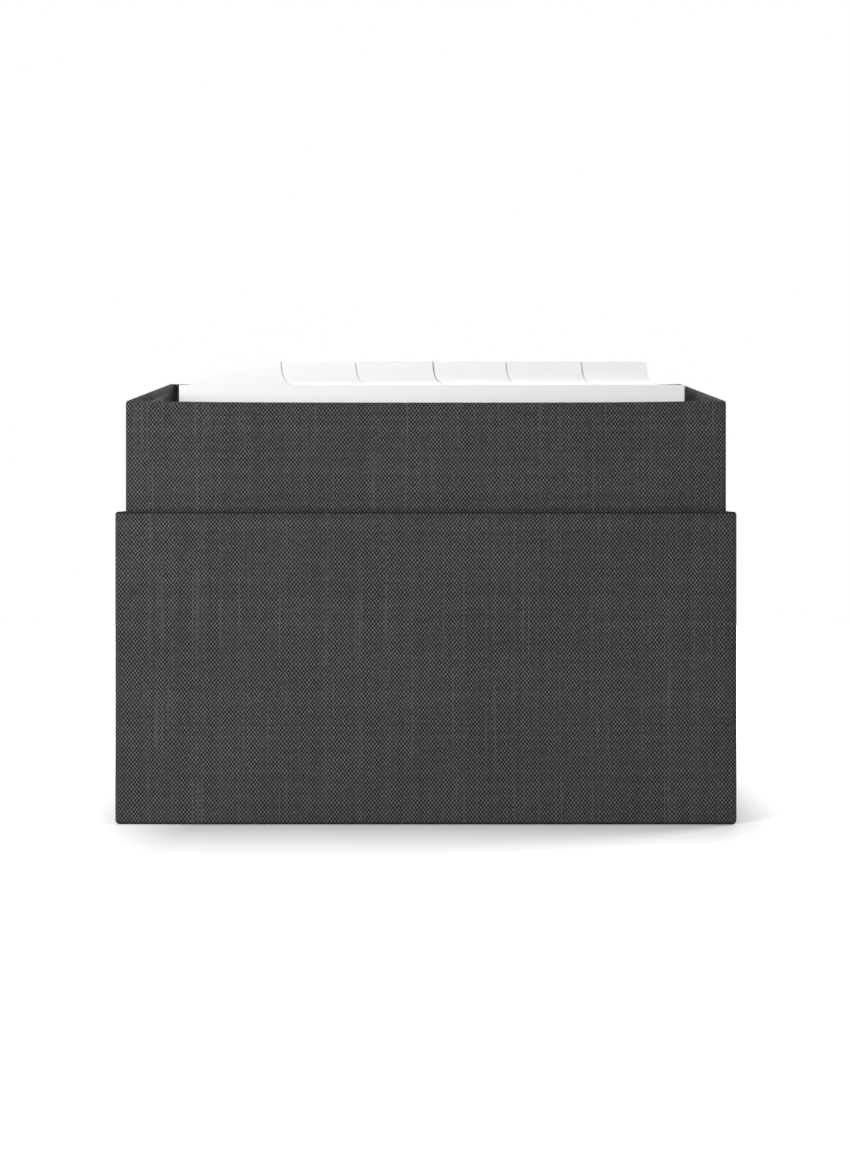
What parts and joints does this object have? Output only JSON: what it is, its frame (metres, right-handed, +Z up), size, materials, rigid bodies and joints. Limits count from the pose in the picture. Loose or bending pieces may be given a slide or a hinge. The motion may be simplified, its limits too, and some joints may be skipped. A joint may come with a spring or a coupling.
{
  "type": "card storage box",
  "caption": "Cloth-covered card storage box: an open card tray with sides rising to the back and tabbed dividers inside, standing in a lower outer box.",
  "frame": {"origin": "centre of the outer box's base, on the surface that it stands on", "axes": "+X to the right seen from the front, along the box's width; +Y from the front to the back; +Z up"},
  "size_m": [0.2026, 0.121, 0.1543],
  "materials": {
    "book_cloth": "matt plain weave",
    "lining_paper": "matt",
    "grey_board": "matt",
    "card_stock": "smooth matt"
  },
  "bodies": {
    "outer_box": {"outer_floor_board": "grey_board", "outer_front_board": "grey_board", "outer_back_board": "grey_board", "outer_left_board": "grey_board", "outer_right_board": "grey_board", "outer_cloth_wrap": "book_cloth", "outer_base_panel": "book_cloth", "outer_floor_lining": "lining_paper", "outer_wall_lining": "lining_paper"},
    "card_tray": {"tray_floor_board": "grey_board", "tray_front_board": "grey_board", "tray_back_board": "grey_board", "tray_left_board": "grey_board", "tray_right_board": "grey_board", "tray_cloth_wrap": "book_cloth", "tray_base_panel": "book_cloth", "tray_floor_lining": "lining_paper", "tray_wall_lining": "lining_paper"},
    "divider_1_body": {"divider_1": "card_stock"},
    "divider_2_body": {"divider_2": "card_stock"},
    "divider_3_body": {"divider_3": "card_stock"},
    "divider_4_body": {"divider_4": "card_stock"},
    "divider_5_body": {"divider_5": "card_stock"},
    "divider_6_body": {"divider_6": "card_stock"}
  },
  "joints": [
    {"name": "tray_lift", "type": "slide", "parent": "outer_box", "child": "card_tray", "axis": [0, 0, 1], "range_m": [0, 0.11]},
    {"name": "divider_1_lift", "type": "slide", "parent": "card_tray", "child": "divider_1_body", "axis": [0, 0, 1], "range_m": [0, 0.15]},
    {"name": "divider_2_lift", "type": "slide", "parent": "card_tray", "child": "divider_2_body", "axis": [0, 0, 1], "range_m": [0, 0.15]},
    {"name": "divider_3_lift", "type": "slide", "parent": "card_tray", "child": "divider_3_body", "axis": [0, 0, 1], "range_m": [0, 0.15]},
    {"name": "divider_4_lift", "type": "slide", "parent": "card_tray", "child": "divider_4_body", "axis": [0, 0, 1], "range_m": [0, 0.15]},
    {"name": "divider_5_lift", "type": "slide", "parent": "card_tray", "child": "divider_5_body", "axis": [0, 0, 1], "range_m": [0, 0.15]},
    {"name": "divider_6_lift", "type": "slide", "parent": "card_tray", "child": "divider_6_body", "axis": [0, 0, 1], "range_m": [0, 0.15]}
  ]
}
